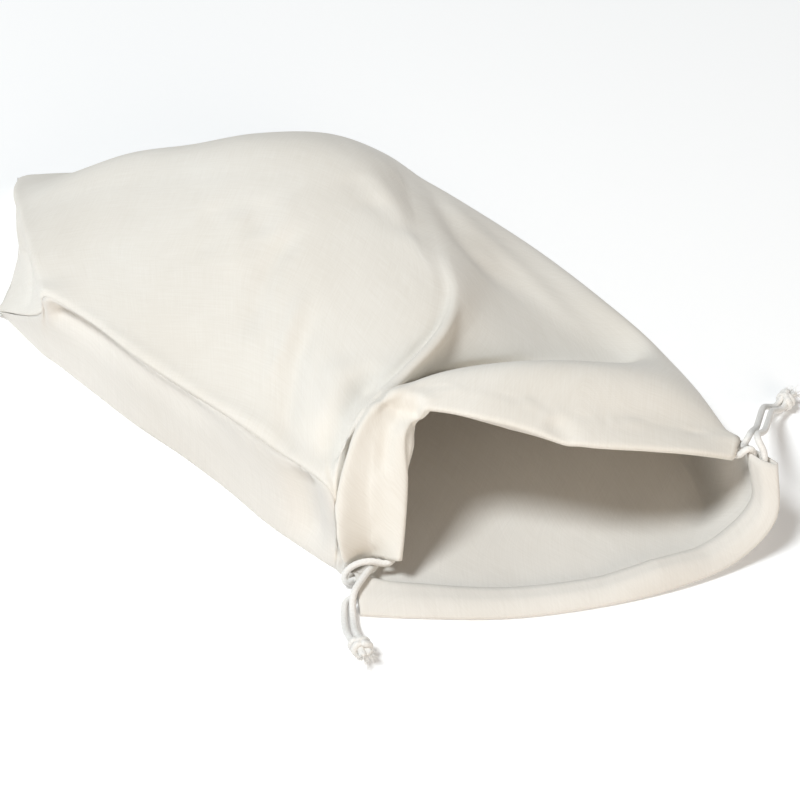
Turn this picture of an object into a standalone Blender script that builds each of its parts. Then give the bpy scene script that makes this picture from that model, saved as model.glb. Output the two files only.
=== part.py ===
"""Linen bread bag: a drawstring bag lying on its back, filled out and open at the mouth.

Two cloth panels meet in a seam that runs round the near side, the closed end and the far side.
Each panel's mouth edge is turned in to a channel, and two cords run through both channels, one
knotted at the near side and one at the far side.

Frame: metres, +Z up. The bag lies along Y with its mouth towards -Y and its closed end towards
+Y. The near side is at -X. The origin is on the underside, in the plane the bag rests on.
Tables are in millimetres.
"""
import math

import bpy
import numpy as np

MM = 0.001

# Driving sizes, in millimetres.
CLOTH = 1.5            # thickness of each panel
GAP = 0.3              # clearance between pieces that touch
SEAM_HALF = 0.6        # how far each panel's edge stays off the side seams' line
SEAM_HALF_CORNER = 1.8 # the same where the near seam drops steeply at the mouth
CORNER_ROW = 9         # the first of the rows where it does
SEAM_HALF_FLAT = 0.9   # the same where the panels lie one on the other
FLOOR = CLOTH / 2.0    # height of the back panel's middle surface where it lies flat
CORD = 4.0             # diameter of the drawstrings
CORD_SLACK = 0.8       # clearance between a cord and each layer of its channel
CORD_SPACE = CORD + CLOTH + 2.0 * CORD_SLACK
STITCH_SPACE = CLOTH + GAP

# Where the cords run in the channels, as fractions of the hem from stitch line to edge.
STITCH_SIDE = 0.3
EDGE_SIDE = 0.7

# Each knot is a turned body: radius and distance from its face, where the two strands end, through
# the bulge and the neck to the frayed tail.
KNOT_PROFILE = ((0.0, 0.0), (5.2, 0.0), (6.5, 3.5), (6.5, 8.0), (5.0, 12.0), (3.4, 14.0),
                (4.2, 18.0), (5.6, 24.0), (0.0, 24.0))
KNOT_HEIGHT = 7.0      # height of the knots' axes
STRAND_HALF = 2.3      # half the distance between the two strands at a knot
STRAND_LEAD = 3.5      # straight length of each strand before the knot

# ---------------------------------------------------------------------------
# Front panel. Every row is one fold line or section across the bag, from the near seam to the
# far seam, and every column follows one line along the bag:
#   near seam, near top 1, near top 2, top 1, top 2, top 3, crown, far shoulder, far flank,
#   far seam
# ---------------------------------------------------------------------------
BOTTOM_SEAM = ((-64, 171, 4), (-44, 181, 4), (-25, 197, 5), (-4, 214, 7), (3, 224, 9),
               (11, 234, 11), (21, 245, 12), (32, 257, 12), (43, 272, 10), (56, 286, 8))
END_FACE = ((-77, 103, 42), (-66, 122, 42), (-56, 140, 42), (-43, 159, 42), (-28, 180, 40),
            (-13, 200, 36), (5, 223, 31), (21, 244, 25), (37, 264, 18), (57, 283, 10))
END_EDGE = ((-76, 101, 54), (-72, 104, 56), (-64, 116, 55), (-51, 136, 57), (-34, 162, 56),
            (-18, 185, 52), (-3, 208, 46), (16, 234, 36), (35, 258, 24), (60, 278, 12))

# The filled body, one row for each section: the near seam's point, the far shoulder's point, the
# height of the crown and the far seam's point.
BODY = (
    # near seam         far shoulder      crown  far seam
    ((-75, 63, 53), (81, 187, 51), 74, (100, 190, 30)),
    ((-82, 15, 53), (106, 138, 67), 91.5, (121, 140, 40)),
    ((-86, -31, 53), (131, 100, 77.5), 105.5, (145, 100, 44)),
    ((-89, -73, 54), (156, 57, 82), 111, (166, 56, 45)),
    ((-93, -114, 54), (162, 14, 80.5), 108.5, (173, 8, 45)),
)
# Places across the top of a section, as fractions of the way from near seam to far shoulder, and
# the part of the crown's rise that the cloth has made by then.
TOP_PLACE = (0.081, 0.171, 0.31, 0.45, 0.61, 0.80)
TOP_RISE = (0.17, 0.37, 0.63, 0.84, 0.98, 1.00)

# The pleat that lies across the front near the mouth.
BODY_END = ((-98, -160, 54), (-83, -147, 61), (-61, -146, 76), (-26, -145, 84), (11, -139, 90),
            (44, -121, 95), (70, -90, 99.5), (157, -12, 80), (168, -20, 62), (171, -26, 45))
PLEAT_FOOT = ((-98, -164, 51), (-83, -151, 60), (-60, -151, 77), (-26, -150, 84), (12, -144, 89),
              (47, -126, 93), (73, -97, 97), (158, -19, 78), (169, -28, 60), (172, -34, 44))
PLEAT_CREST = ((-98, -166, 46), (-82, -155, 66), (-59, -157, 85), (-25, -156, 90),
               (14, -150, 92), (51, -131, 94), (77, -104, 95), (159, -28, 76), (170, -36, 59),
               (173, -42, 44))

# The slope that falls away behind the mouth, before the cloth climbs over the opening.
HOLLOW = (
    ((-97, -167, 36), (-84, -161, 54), (-62, -153, 70), (-27, -158, 82), (13, -154, 84),
     (55, -147, 80), (113, -118, 68), (164, -97, 59), (171, -103, 50), (171, -109, 42)),
    ((-98, -169, 26), (-86, -164, 42), (-67, -154, 60), (-36, -157, 78), (7, -157, 76),
     (60, -174, 66), (111, -176, 55), (148, -171, 54), (153, -177, 47), (153, -182, 40)),
    ((-99.5, -172, 15), (-88, -168, 26), (-72, -158, 56), (-37, -154, 76), (10, -156, 68),
     (61, -184, 58), (107, -218, 50), (130, -222, 53), (133, -230, 47), (131, -237, 41)),
)
# The roof over the mouth: its crest, the hem's stitch line and the mouth's edge.
ROOF_CREST = ((-103, -177, 6), (-102.5, -171, 32.5), (-89, -164, 61), (-61, -162, 88),
              (-22, -173, 93), (12, -198, 94), (48, -232, 88), (78, -264, 74), (90, -288, 59),
              (92, -302, 50))
FRONT_STITCH = ((-87, -182, 6), (-86, -181, 28), (-78, -174, 58), (-58, -166, 86),
                (-30, -178, 94), (-7, -209, 92), (16, -246, 82), (47, -273, 71), (69, -294, 61),
                (89, -311, 52))
FRONT_EDGE = ((-88, -202, 16), (-79, -198, 31), (-68, -191, 57), (-58, -182, 80),
              (-46, -182, 89), (-22, -221, 87), (0, -257, 77), (32, -286, 68), (56, -305, 60),
              (75, -317, 50))

# ---------------------------------------------------------------------------
# Back panel. Its rows follow the front panel's. Columns:
#   near seam, near flank, near foot, floor 1, floor 2, floor 3, far foot, far flank, far seam
# ---------------------------------------------------------------------------
# Feet of the panel on the table, one row for each of the front panel's rows from the end face
# to the roof's crest: near foot x, y, and far foot x, y.
FEET = (
    (-72, 113, 52, 270),
    (-73, 101, 56, 266),
    (-78, 63, 88, 190),
    (-84, 15, 109, 140),
    (-87, -31, 133, 100),
    (-92, -73, 153, 56),
    (-99, -114, 162, 8),
    (-102, -160, 161, -26),
    (-102, -164, 162, -34),
    (-102, -168, 163, -42),
    (-102, -170, 161, -109),
    (-103, -172, 142, -184),
    (-103, -175, 120, -242),
    (-105, -179, 82, -296),
)
# Places of the floor's columns between the two feet.
FLOOR_PLACE = (0.25, 0.5, 0.75)
# Places of the columns along the bottom seam, from the near corner to the far corner.
BOTTOM_PLACE = (0.0, 0.012, 0.03, 0.27, 0.5, 0.73, 0.97, 0.988, 1.0)
# How far the far flank swells out at its middle.
FLANK_SWELL = 3.0
BACK_STITCH = ((-101, -180, 0), (-96, -196, 0), (-87, -211, 0), (-55, -254, 0), (-16, -287, 0),
               (21, -310, 1.5), (53, -324, 6), (80, -330, 23), (89, -318, 49))
BACK_EDGE = ((-121, -203, 0), (-115, -212, 0), (-104, -227, 0), (-70, -268, 0), (-28, -303, 0),
             (12, -328, 1.5), (46, -343, 6), (73, -349, 23), (86, -338, 49))

# Cells between neighbouring rows and columns.
FRONT_ROW_STEPS = (2, 1, 3, 2, 2, 2, 2, 2, 1, 2, 2, 2, 2, 3, 2, 1)
FRONT_COLUMN_STEPS = (2, 2, 3, 3, 3, 3, 3, 2, 2)
BACK_ROW_STEPS = (2, 1, 2, 2, 2, 2, 2, 2, 1, 1, 2, 2, 2, 2, 2, 1)
BACK_COLUMN_STEPS = (1, 1, 3, 3, 3, 3, 2, 2)

# The channel's cross-section: fraction of the hem from stitch line to edge, and the distance
# between its two layers there.
CHANNEL = ((0.0, STITCH_SPACE), (0.05, 4.6), (0.14, CORD_SPACE), (0.86, CORD_SPACE), (0.95, 5.4),
           (1.0, 4.4))
OUTER_AT = (0.2, 0.5, 0.8, 1.0)
NOSE = (1.06, 2.2)
INNER_AT = (1.0, 0.94, 0.86, 0.5, 0.14, 0.05)

# The cords cross once in each channel. Place of the crossing as a fraction of the panel's
# columns, then distance from it along the hem, the part of the way that the cords have changed
# sides by then, and the part of the rise that lifts one over the other.
FRONT_CROSSING = 0.54
BACK_CROSSING = 0.64
CROSSING = ((-30.0, 0.0, 0.0), (-15.0, 0.15, 0.6), (0.0, 0.5, 1.0), (15.0, 0.85, 0.6),
            (30.0, 1.0, 0.0))
CROSSING_RISE = CORD + 2.0 * GAP

# ---------------------------------------------------------------------------
# Free parts of the cords. A strand runs from the channel's end to its knot, a bridge from the
# front channel's end to the back channel's end.
# ---------------------------------------------------------------------------
LEFT_KNOT = (-142, -218, 247)      # x and y of the knot's face, and its heading in degrees
LEFT_FRONT_STRAND = ((-85, -188, 5.8), (-88, -187, 5.3), (-92, -188.3, 5.9), (-95, -189.4, 7.6),
                     (-98, -190.6, 10), (-101.5, -191.8, 11.4), (-105, -192.8, 11.7),
                     (-110, -194.2, 11.8), (-115.5, -195.5, 11.7), (-119, -196.6, 10.2),
                     (-121.4, -198, 7.2), (-123.8, -200, 4.2), (-127.5, -203.8, 2.7),
                     (-132, -208.6, 3.2))
LEFT_BACK_STRAND = ((-117.5, -193, 3.6), (-120.5, -192, 3), (-125, -195, 2.6), (-131, -200, 2.6),
                    (-137, -206.5, 3))
LEFT_BRIDGE = ((-85.5, -196.2, 10.2), (-88, -194.8, 9.7), (-91, -191.8, 10.6), (-94, -189, 12.8),
               (-98, -185.6, 12.8), (-103.5, -181.8, 11), (-107.3, -180.5, 8.6),
               (-110.2, -181.5, 5.6), (-110.9, -183.9, 4.4))

RIGHT_KNOT = (184, -288, 4)
RIGHT_FRONT_STRAND = ((85.2, -313.4, 48.1), (86.4, -315.3, 49.3), (87.3, -316.3, 52.9),
                      (91, -316, 55), (98, -313.6, 52), (112, -309, 43.6), (128, -302, 34.6),
                      (144, -294.8, 26.4), (159, -288.2, 19), (169, -284.6, 13),
                      (175, -284.4, 9.2))
RIGHT_BACK_STRAND = ((84.8, -329.4, 55), (84.2, -326.8, 58.6), (86, -323.8, 60.2),
                     (91.5, -321, 58.4), (100, -318.4, 52.4), (113, -314.2, 43.8),
                     (129, -307.4, 34.8), (145, -300.4, 26.4), (160, -293.8, 18.8),
                     (170, -290.8, 12.6), (176.5, -290.4, 8.6))
RIGHT_BRIDGE = ((79.2, -315.4, 46.9), (79.1, -317.6, 47.8), (78.8, -319.2, 51.3),
                (80, -320.9, 54.6), (82.6, -322.4, 54.8))
CORD_POINTS = 3.0 * CORD           # longest distance between a cord's points


# ---------------------------------------------------------------------------
# Smooth lines and surfaces through the tables' points
# ---------------------------------------------------------------------------
def smooth_line(points, steps):
    """Centripetal Catmull-Rom line through points, with steps[i] cells after point i."""
    points = [np.asarray(p, float) for p in points]
    first = 2.0 * points[0] - points[1]
    last = 2.0 * points[-1] - points[-2]
    ring = [first] + points + [last]
    line = []
    for i, count in enumerate(steps):
        p0, p1, p2, p3 = ring[i:i + 4]
        t1 = math.sqrt(max(np.linalg.norm(p1 - p0), 0.01))
        t2 = t1 + math.sqrt(max(np.linalg.norm(p2 - p1), 0.01))
        t3 = t2 + math.sqrt(max(np.linalg.norm(p3 - p2), 0.01))
        for k in range(count):
            t = t1 + (t2 - t1) * k / count
            a1 = p0 + (p1 - p0) * (t / t1)
            a2 = p1 + (p2 - p1) * ((t - t1) / (t2 - t1))
            a3 = p2 + (p3 - p2) * ((t - t2) / (t3 - t2))
            b1 = a1 + (a2 - a1) * (t / t2)
            b2 = a2 + (a3 - a2) * ((t - t1) / (t3 - t1))
            line.append(b1 + (b2 - b1) * ((t - t1) / (t2 - t1)))
    line.append(points[-1])
    return np.array(line)


def smooth_grid(rows, row_steps, column_steps):
    """Surface through a table of rows: smooth along the bag first, then across it."""
    rows = np.asarray(rows, float)
    along = [smooth_line(rows[:, j], row_steps) for j in range(rows.shape[1])]
    along = np.stack(along, axis=1)
    return np.stack([smooth_line(row, column_steps) for row in along])


def resample(points, places):
    """Points at the given fractions of a polyline's length."""
    points = np.asarray(points, float)
    steps = np.linalg.norm(np.diff(points, axis=0), axis=1)
    reached = np.concatenate([[0.0], np.cumsum(steps)])
    wanted = np.asarray(places) * reached[-1]
    return np.stack([np.interp(wanted, reached, points[:, k]) for k in range(3)], axis=1)


def normals(grid):
    """Unit normals of a grid, on the +Z side where the cloth lies flat."""
    along = np.gradient(grid, axis=0)
    across = np.gradient(grid, axis=1)
    normal = np.cross(along, across)
    return normal / np.linalg.norm(normal, axis=2, keepdims=True)


# ---------------------------------------------------------------------------
# The panels' middle surfaces
# ---------------------------------------------------------------------------
def body_row(near_seam, shoulder, crown, far_seam):
    """One section of the filled body, from near seam to far seam."""
    near = np.array(near_seam, float)
    far = np.array(shoulder, float)
    row = [near]
    for place, rise in zip(TOP_PLACE, TOP_RISE):
        point = near + (far - near) * place
        point[2] = near[2] + (crown - near[2]) * rise
        row.append(point)
    seam = np.array(far_seam, float)
    flank = 0.4 * far + 0.6 * seam
    flank[0] += FLANK_SWELL
    row += [far, flank, seam]
    return row


def front_rows():
    rows = [BOTTOM_SEAM, END_FACE, END_EDGE]
    rows += [body_row(*section) for section in BODY]
    rows += [BODY_END, PLEAT_FOOT, PLEAT_CREST]
    rows += list(HOLLOW)
    rows += [ROOF_CREST, FRONT_STITCH, FRONT_EDGE]
    return np.array([[tuple(p) for p in row] for row in rows], float)


def back_rows():
    front = front_rows()
    rows = [resample(front[0], BOTTOM_PLACE)]
    for feet, edge in zip(FEET, front[1:-2]):
        near_seam = edge[0]
        far_seam = edge[-1]
        near_foot = np.array([feet[0], feet[1], FLOOR])
        far_foot = np.array([feet[2], feet[3], FLOOR])
        near_flank = 0.5 * (near_seam + near_foot)
        far_flank = 0.45 * far_foot + 0.55 * far_seam
        far_flank[0] += FLANK_SWELL
        floor = [near_foot + (far_foot - near_foot) * place for place in FLOOR_PLACE]
        rows.append([near_seam, near_flank, near_foot] + floor + [far_foot, far_flank, far_seam])
    for table in (BACK_STITCH, BACK_EDGE):
        rows.append([(x, y, z + FLOOR) for x, y, z in table])
    return np.array([[tuple(p) for p in row] for row in rows], float)


def part_seam(rows, side):
    """Moves a panel's seam edges off the seam line: side is 1 for the front, -1 for the back."""
    parted = rows.copy()
    parted[0, :, 2] += side * SEAM_HALF_FLAT
    for i in range(1, len(rows) - 2):
        near_half = SEAM_HALF_CORNER if i >= CORNER_ROW else SEAM_HALF
        for edge, inner, half in ((0, 1, near_half), (-1, -2, SEAM_HALF)):
            along = rows[i + 1, edge] - rows[i - 1, edge]
            along /= np.linalg.norm(along)
            across = rows[i, inner] - rows[i, edge]
            across -= along * np.dot(across, along)
            parted[i, edge] += across * (half / np.linalg.norm(across))
            parted[i, edge, 2] += side * SEAM_HALF
    return parted


def crossing(grid, place):
    """For each column: how far the cords have changed sides, and how far one is lifted."""
    steps = np.linalg.norm(np.diff(grid[-2], axis=0), axis=1)
    reached = np.concatenate([[0.0], np.cumsum(steps)])
    offset = reached - reached[round(place * (len(reached) - 1))]
    distance, change, lift = np.array(CROSSING).T
    return np.interp(offset, distance, change), np.interp(offset, distance, lift)


def channel_gap(at, lift):
    """Distance between the two layers of the channel at a fraction of the hem."""
    places, gaps = np.array(CHANNEL).T
    gap = np.interp(at, places, gaps)
    return gap + lift * CROSSING_RISE * np.minimum(gap / CORD_SPACE, 1.0)


def hem_normal(grid, inward):
    """Unit normals of the hem, towards the inside of the bag.

    inward is 1 where the inside is on the normals' side and -1 on the other.
    """
    normal = normals(grid)[-2:].mean(axis=0) * inward
    return normal / np.linalg.norm(normal, axis=1, keepdims=True)


def hem_layers(grid, inward, place):
    """Adds the cord channel to a panel whose last two rows are the stitch line and the edge."""
    stitch = grid[-2]
    depth = grid[-1] - stitch
    normal = hem_normal(grid, inward)
    lift = crossing(grid, place)[1]
    rows = [row for row in grid[:-1]]
    for at in OUTER_AT:
        rows.append(stitch + depth * at)
    rows.append(stitch + depth * NOSE[0] + normal * NOSE[1])
    for at in INNER_AT:
        rows.append(stitch + depth * at + normal * channel_gap(at, lift)[:, None])
    return np.array(rows)


def channel_line(grid, inward, place, near_at, far_at, lifted):
    """A cord's line in the channel, from the near end to the far end."""
    change, lift = crossing(grid, place)
    at = near_at + (far_at - near_at) * change
    height = 0.5 * CORD_SPACE + lifted * CROSSING_RISE * lift
    depth = grid[-1] - grid[-2]
    return grid[-2] + depth * at[:, None] + hem_normal(grid, inward) * height[:, None]


def knot_frame(knot):
    """A knot's face centre, its heading along the axis and the direction across it."""
    x, y, degrees = knot
    angle = math.radians(degrees)
    face = np.array([x, y, KNOT_HEIGHT])
    heading = np.array([math.cos(angle), math.sin(angle), 0.0])
    across = np.array([-math.sin(angle), math.cos(angle), 0.0])
    return face, heading, across


def strand_end(knot, side):
    """The last two points of a strand: straight into the knot's face, a small gap away."""
    face, heading, across = knot_frame(knot)
    end = face - heading * GAP + across * side * STRAND_HALF
    return [end - heading * STRAND_LEAD, end]


def cord_route(front_strand, front_line, bridge, back_line, back_strand):
    """A cord's whole route: strand, front channel, bridge, back channel, strand."""
    points = [np.array(p, float) for p in front_strand[::-1]]
    points += list(front_line)
    points += [np.array(p, float) for p in bridge]
    points += list(back_line)
    points += [np.array(p, float) for p in back_strand]
    steps = np.linalg.norm(np.diff(points, axis=0), axis=1)
    return smooth_line(points, [max(1, round(step / CORD_POINTS)) for step in steps])


def left_route(front, back):
    """The cord that is knotted at the near side."""
    front_line = channel_line(front, -1.0, FRONT_CROSSING, STITCH_SIDE, EDGE_SIDE, 0.0)
    back_line = channel_line(back, 1.0, BACK_CROSSING, EDGE_SIDE, STITCH_SIDE, 1.0)
    return cord_route(list(LEFT_FRONT_STRAND) + strand_end(LEFT_KNOT, 1.0), front_line,
                      RIGHT_BRIDGE, back_line[::-1],
                      list(LEFT_BACK_STRAND) + strand_end(LEFT_KNOT, -1.0))


def right_route(front, back):
    """The cord that is knotted at the far side."""
    front_line = channel_line(front, -1.0, FRONT_CROSSING, EDGE_SIDE, STITCH_SIDE, 1.0)
    back_line = channel_line(back, 1.0, BACK_CROSSING, STITCH_SIDE, EDGE_SIDE, 0.0)
    return cord_route(list(RIGHT_FRONT_STRAND) + strand_end(RIGHT_KNOT, 1.0), front_line[::-1],
                      LEFT_BRIDGE, back_line,
                      list(RIGHT_BACK_STRAND) + strand_end(RIGHT_KNOT, -1.0))


def front_grid():
    rows = part_seam(front_rows(), 1.0)
    return smooth_grid(rows, FRONT_ROW_STEPS, FRONT_COLUMN_STEPS)


def back_grid():
    rows = part_seam(back_rows(), -1.0)
    grid = smooth_grid(rows, BACK_ROW_STEPS, BACK_COLUMN_STEPS)
    grid[:, :, 2] = np.maximum(grid[:, :, 2], FLOOR)
    return grid


# ---------------------------------------------------------------------------
# Objects
# ---------------------------------------------------------------------------
def clear_scene():
    for old in list(bpy.data.objects):
        bpy.data.objects.remove(old, do_unlink=True)


def make_material(name, colour, roughness):
    material = bpy.data.materials.new(name)
    material.use_nodes = True
    shader = material.node_tree.nodes["Principled BSDF"]
    shader.inputs["Base Color"].default_value = colour + (1.0,)
    shader.inputs["Roughness"].default_value = roughness
    shader.inputs["Metallic"].default_value = 0.0
    return material


def add_panel(collection, name, grid, material):
    """A cloth sheet on a grid of points, thickened evenly to both sides."""
    mesh = bpy.data.meshes.new(name)
    count = grid.shape[1]
    points = [tuple(p) for p in (grid * MM).reshape(-1, 3)]
    faces = []
    for i in range(grid.shape[0] - 1):
        for j in range(count - 1):
            corner = i * count + j
            faces.append((corner, corner + count, corner + count + 1, corner + 1))
    mesh.from_pydata(points, [], faces)
    mesh.update()
    mesh.materials.append(material)
    mesh.shade_smooth()
    panel = bpy.data.objects.new(name, mesh)
    collection.objects.link(panel)
    solidify = panel.modifiers.new("cloth thickness", "SOLIDIFY")
    solidify.thickness = CLOTH * MM
    solidify.offset = 0.0
    solidify.use_rim = True
    return panel


def add_cord(collection, name, route, material):
    """A round cord along a smooth line, closed at both ends."""
    curve = bpy.data.curves.new(name, "CURVE")
    curve.dimensions = "3D"
    curve.bevel_depth = 0.5 * CORD * MM
    curve.bevel_resolution = 2
    curve.use_fill_caps = True
    spline = curve.splines.new("POLY")
    spline.points.add(len(route) - 1)
    for point, place in zip(spline.points, route):
        point.co = tuple(np.asarray(place) * MM) + (1.0,)
    curve.materials.append(material)
    cord = bpy.data.objects.new(name, curve)
    collection.objects.link(cord)
    return cord


def add_knot(collection, name, knot, material):
    """A turned body for a knot and its frayed tail, lying with its axis level."""
    mesh = bpy.data.meshes.new(name)
    points = [(radius * MM, 0.0, -distance * MM) for radius, distance in KNOT_PROFILE]
    mesh.from_pydata(points, [(i, i + 1) for i in range(len(points) - 1)], [])
    mesh.materials.append(material)
    body = bpy.data.objects.new(name, mesh)
    collection.objects.link(body)
    face, heading, across = knot_frame(knot)
    body.location = tuple(face * MM)
    body.rotation_euler = (0.0, -0.5 * math.pi, math.radians(knot[2]))
    screw = body.modifiers.new("turn", "SCREW")
    screw.steps = 18
    screw.render_steps = 18
    screw.use_merge_vertices = True
    screw.merge_threshold = 0.00001
    screw.use_smooth_shade = True
    return body


def build():
    clear_scene()
    collection = bpy.data.collections.new("linen bread bag")
    bpy.context.scene.collection.children.link(collection)
    front = front_grid()
    back = back_grid()
    front_linen = make_material("front linen", (0.83, 0.81, 0.76), 0.9)
    back_linen = make_material("back linen", (0.83, 0.80, 0.74), 0.9)
    add_panel(collection, "front_panel", hem_layers(front, -1.0, FRONT_CROSSING), front_linen)
    add_panel(collection, "back_panel", hem_layers(back, 1.0, BACK_CROSSING), back_linen)
    left_cotton = make_material("left cotton cord", (0.87, 0.86, 0.83), 0.85)
    right_cotton = make_material("right cotton cord", (0.87, 0.86, 0.82), 0.85)
    add_cord(collection, "drawstring_left", left_route(front, back), left_cotton)
    add_cord(collection, "drawstring_right", right_route(front, back), right_cotton)
    left_knot = make_material("left knot cotton", (0.86, 0.85, 0.83), 0.9)
    right_knot = make_material("right knot cotton", (0.86, 0.85, 0.82), 0.9)
    add_knot(collection, "knot_left", LEFT_KNOT, left_knot)
    add_knot(collection, "knot_right", RIGHT_KNOT, right_knot)


build()
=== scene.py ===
"""Looks of the linen bread bag: cloth panels with their folds, braided cords and their knots.

The tables repeat the construction's own folds and sections, in millimetres, in the row's frame:
+Z up, the mouth towards -Y, the closed end towards +Y, the near side at -X.
"""

import math

import bpy
import numpy as np
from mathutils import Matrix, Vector


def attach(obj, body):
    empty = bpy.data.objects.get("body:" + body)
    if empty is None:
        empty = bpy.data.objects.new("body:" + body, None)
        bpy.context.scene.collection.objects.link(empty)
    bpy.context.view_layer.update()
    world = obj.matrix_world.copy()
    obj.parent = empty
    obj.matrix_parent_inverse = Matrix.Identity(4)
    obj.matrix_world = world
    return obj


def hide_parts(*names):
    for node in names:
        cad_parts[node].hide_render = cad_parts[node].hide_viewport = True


MM = 0.001
TURN = 2.0 * math.pi
TINY = 1e-9            # keeps a division from failing

# Driving sizes, in millimetres.
CLOTH = 1.1            # thickness that shows
FLOOR = 0.6            # height of the back panel's middle surface where it lies flat
GAP = 0.3              # between a strand's end and its knot, and between cords that cross
CORD = 4.0             # diameter of the drawstrings
CORD_SPACE = 7.1       # distance between the middle surfaces of the channel's two layers
STITCH_SPACE = 1.5     # the same at the channel's stitch line
KNOT_HEIGHT = 7.0      # a knot's middle above the floor
STRAND_HALF = 2.3      # half the distance between the two strands at a knot
STRAND_LEAD = 3.5      # straight length of a strand before its knot
# Place of the far flank's column: on the front from shoulder to seam, on the back from foot to
# seam.
FRONT_FLANK = 0.6
BACK_FLANK = 0.55
# Where the cords run in the channels, as fractions of the hem from stitch line to edge.
STITCH_SIDE = 0.3
EDGE_SIDE = 0.7

# Fineness of the shapes.
CELL = 2.6             # size of the cloth's faces
FEWEST_CELLS = 2       # between two rows or columns of a table
SHORTEST = 0.01        # least distance between two points of a smooth line
CORD_STEP = 4.0        # longest distance between a cord route's points
ROUTE_STEP = 0.7       # distance between a cord's rings
CREASE_CELLS = 4       # between two points of a crease
BLOCK = 4000           # points whose distances are measured at a time
START_SIDE = (0.3, 0.2, 1.0)   # a direction that no tube starts in

# The side seams' groove: depth, half width, length over which it comes in from the mouth, and
# part of its depth at the mouth. The cloth's direction there is taken this many columns in.
SEAM_DEPTH = 1.6
SEAM_WIDTH = 2.6
SEAM_END = 30.0
SEAM_END_PART = 0.3
SEAM_INNER = 3
# The puckers beside it: spacing, height, distance from the seam and half width.
PUCKER = 4.0
PUCKER_RISE = 0.35
PUCKER_AT = 4.0
PUCKER_WIDTH = 4.0
# Creases: distance from the seams over which they come in, how steeply a sharp and a soft one
# fall off, and the parts of their length over which their two ends fade.
SEAM_HOLD = 5.0
SHARP_FALL = 1.2
SOFT_FALL = 2.0
CREASE_FADED = (0.3, 0.3)

# The hem swells over its cords, and is gathered in small and larger puckers at its stitches:
# rise, half width, spacing and place, as fractions of the hem where they lie across it.
CORD_SWELL = 0.25
CORD_SWELL_WIDTH = 0.2
SMALL_PUCKER = 0.35
SMALL_SPACING = 5.0
LARGE_PUCKER = 0.5
LARGE_SPACING = 14.0
GATHER_AT = 0.18
GATHER_WIDTH = 0.16
# Places where the inner layer of the front's channel stands out past its edge: place along the
# hem, half width, distance out and distance in.
FRONT_LIPS = ((0.272, 0.075, 8.0, 2.6),)
# Where across the hem a lip lies, its half width, how strongly it is evened out along and across
# the hem, and the columns over which that is done.
LIP_AT = 0.93
LIP_WIDTH = 0.09
LIP_CALM_ALONG = 2.0
LIP_CALM_ACROSS = 1.3
LIP_REACH = 9

# The cords are braided: strands each way, the distance in which they go round once, half the
# depth between them, and points round a cord.
BRAID_STRANDS = 4
BRAID_PITCH = 10.0
BRAID_RELIEF = 0.14
BRAID_SIDES = 32
# The cords' turns are eased over this many rings to each side, but less and less in the last
# part before a knot.
LEFT_EASE, RIGHT_EASE = 9, 6
EASE_START = 10.0
# An overhand knot in both strands: distance along its axis, distance from it, turn about it in
# degrees, half the strands' spacing across it and half their spacing along it.
KNOT_LINE = ((-0.3, 0, 0, 2.3, 0), (2, 0.5, 0, 2.1, 0), (5, 2.4, 0, 1.6, 1),
             (7.5, 4.2, 10, 0.6, 1.9), (7.8, 4.4, 60, 0, 1.9), (7.2, 4.4, 130, 0, 1.9),
             (6.4, 4.4, 200, 0, 1.9), (5.6, 4.3, 270, 0, 1.9), (5.4, 3.8, 330, 0.3, 1.7),
             (7, 2, 380, 1.2, 0.9), (9.5, 0.8, 400, 1.7, 0), (12, 0.5, 400, 1.8, 0),
             (14.2, 0.3, 400, 2.1, 0))
KNOT_CELLS = 8         # between two of its points
KNOT_STEP = 0.6        # distance between its rings
# Frayed ends: fibres on each strand, how deep they start, how wide the bundle is, how far they
# spread, lean aside, reach and bend, how low they may lie, and their radius and taper.
FIBRES = 24
FIBRE_ROOT = (0.5, 2.5)
FIBRE_BUNDLE = 0.75
FIBRE_SPREAD = 0.45
FIBRE_ASIDE = 0.25
FIBRE_REACH = (1.8, 5.2)
FIBRE_BEND = 0.9
FIBRE_LOWEST = 0.4
FIBRE_RADIUS = 0.24
FIBRE_TAPER = 0.14
FIBRE_POINTS = 7
FIBRE_SIDES = 5

# Seeds of the random draws: the panels' puckers, the hems' puckers and the frayed ends.
FRONT_SEED, BACK_SEED = 11, 12
SMALL_SEED, LARGE_SEED = 21, 22
LEFT_SEED, RIGHT_SEED = 5, 9

# The linen, in metres of cloth: its threads, how far they wander and in what scale, and the
# scales along and across a slub.
WEAVE = TURN / 0.0014  # two threads to a wave, 0.7 mm apart
SWAY = 0.0016
SWAY_SCALE = 60.0
SLUB_ALONG = 45.0
SLUB_ACROSS = 900.0
# Relief of weave and slubs, strength and distance of the bumps for threads and soft dents, and
# the dents' scale.
WEAVE_RELIEF = 0.25
SLUB_RELIEF = 0.9
THREAD_BUMP = (0.3, 0.00012)
DENT_BUMP = (0.35, 0.0012)
DENT_SCALE = (55.0, 40.0)
# Tones: share of the slubs, share and scale of the slow clouds, and where dark and light lie.
SLUB_TONE = 0.2
CLOUD_TONE = 0.55
CLOUD_SCALE = (9.0, 7.0)
LINEN_STOPS = (0.38, 0.62)
# The cotton: where dark and light lie, its bump, how much finer its bump is than its tones, and
# the scale of its fibres.
COTTON_STOPS = (0.3, 0.6)
COTTON_BUMP = (0.34, 0.0002)
COTTON_FINER = 2.5
CORD_GRAIN, KNOT_GRAIN = 900.0, 700.0
# Light and dark tone of each material. The back panel is the same linen as the front, painted
# darker as shade.
FRONT_LINEN = ((0.86, 0.83, 0.77), (0.78, 0.74, 0.67))
# Painted shade: the back panel's linen is darker than the front's only to dim its flank, which the
# lights leave too bright.
BACK_LINEN_PAINTED_SHADE = ((0.80, 0.77, 0.72), (0.72, 0.685, 0.63))
CORD_COTTON = ((0.87, 0.855, 0.825), (0.79, 0.77, 0.735))
KNOT_COTTON = ((0.86, 0.845, 0.815), (0.74, 0.72, 0.685))

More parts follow.
